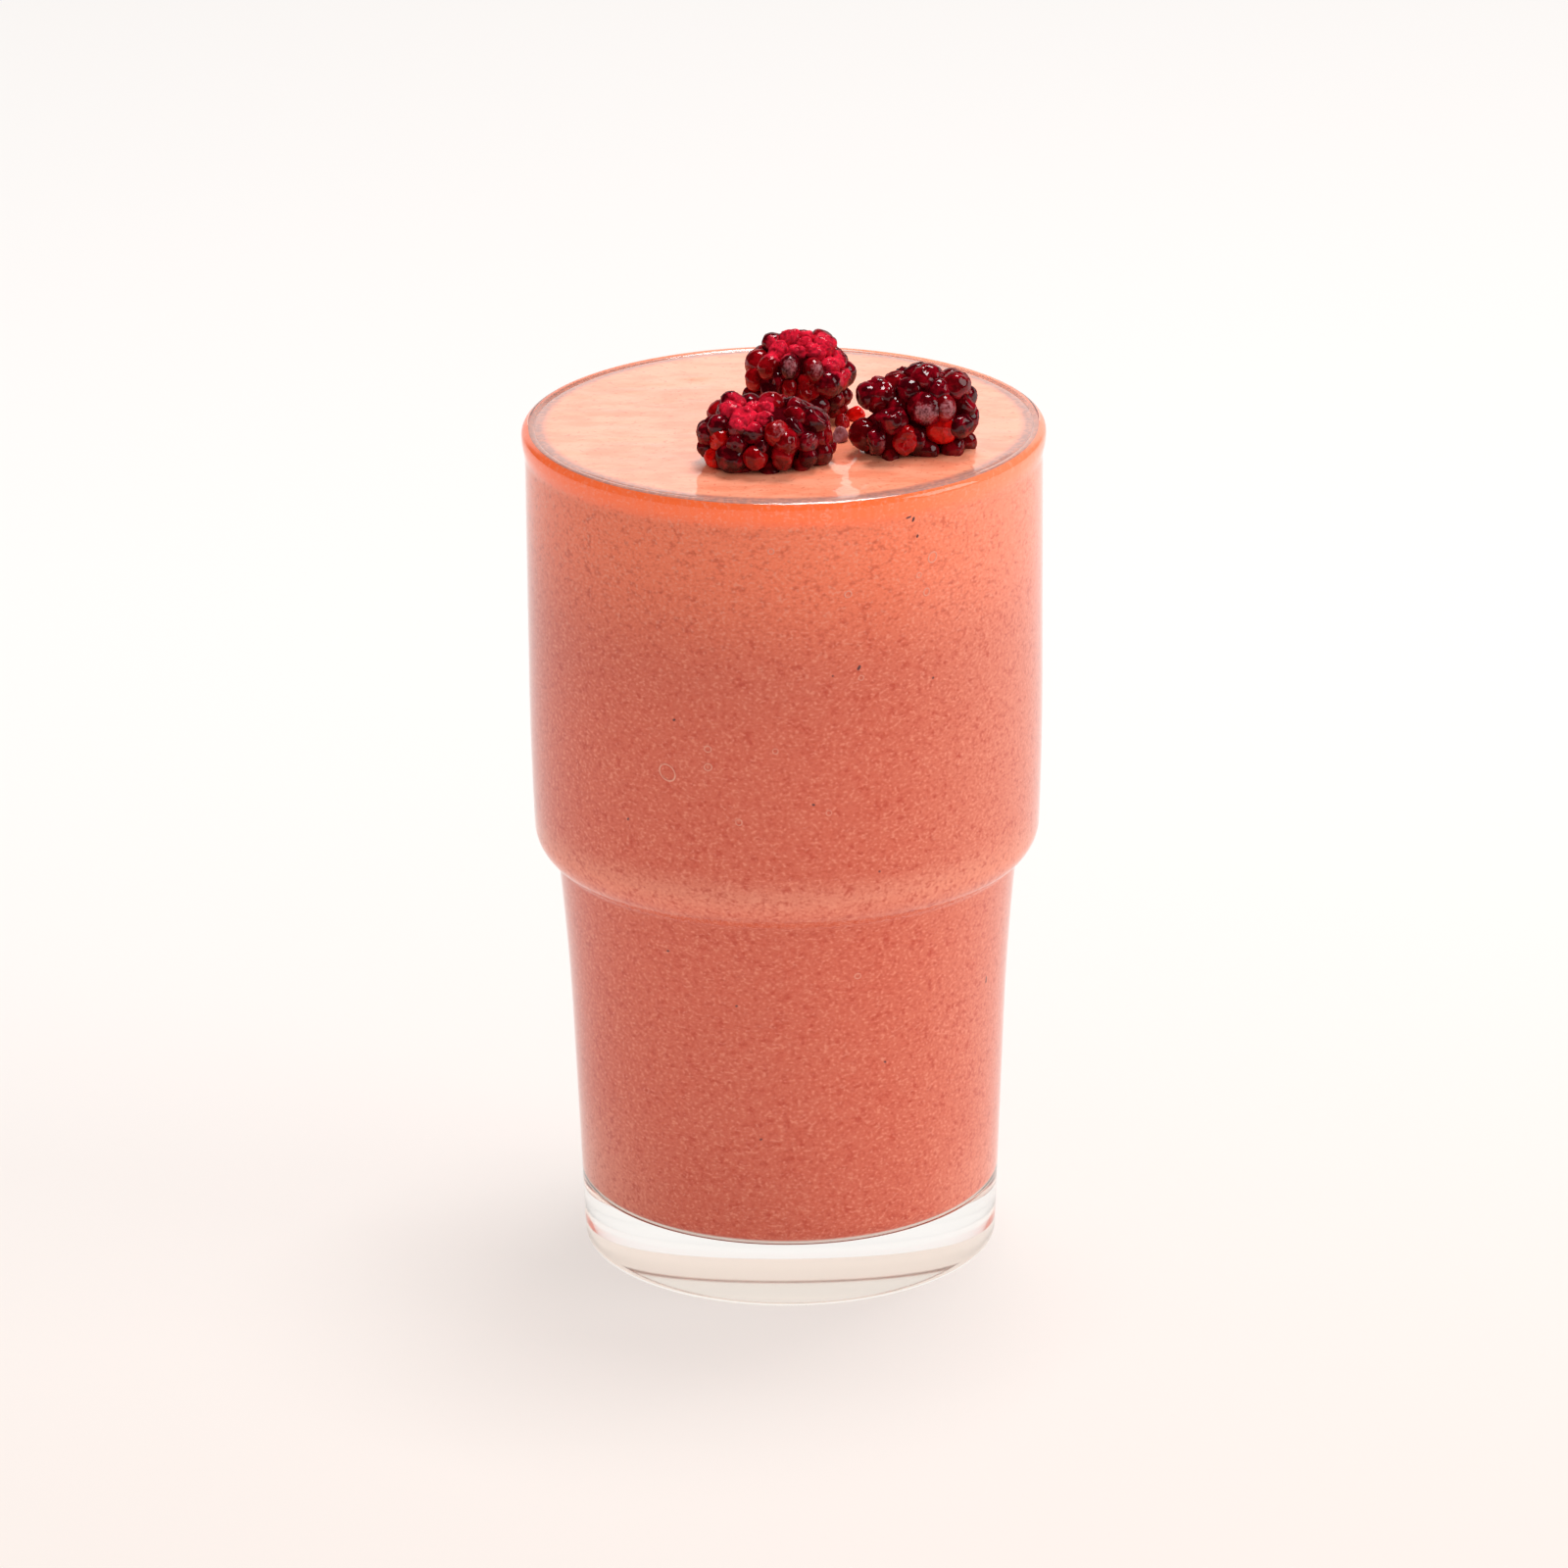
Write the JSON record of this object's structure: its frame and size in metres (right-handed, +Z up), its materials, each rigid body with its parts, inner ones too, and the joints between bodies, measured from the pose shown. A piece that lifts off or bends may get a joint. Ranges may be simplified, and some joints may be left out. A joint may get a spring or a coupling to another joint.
{
  "type": "berry lemonade in a tumbler",
  "caption": "Thick blended berry lemonade in a clear stepped stacking tumbler, filled to the brim and topped with frosted bramble berries.",
  "frame": {"origin": "centre of the tumbler's foot, on the surface that it stands on", "axes": "+Z up along the tumbler's axis; -Y towards the front, where two of the three berries lie; +X to the right seen from the front"},
  "size_m": [0.083, 0.083, 0.1523],
  "materials": {
    "glass": "clear pressed soda-lime glass, fire polished",
    "drink": "opaque salmon-pink blended drink with fine dark flecks, wet surface",
    "berry": "dark red to purple skins, wet in places and frosted in others"
  },
  "bodies": {
    "root": {"glass": "glass", "drink": "drink", "berry_front": "berry", "berry_right": "berry", "berry_back": "berry"}
  },
  "joints": []
}
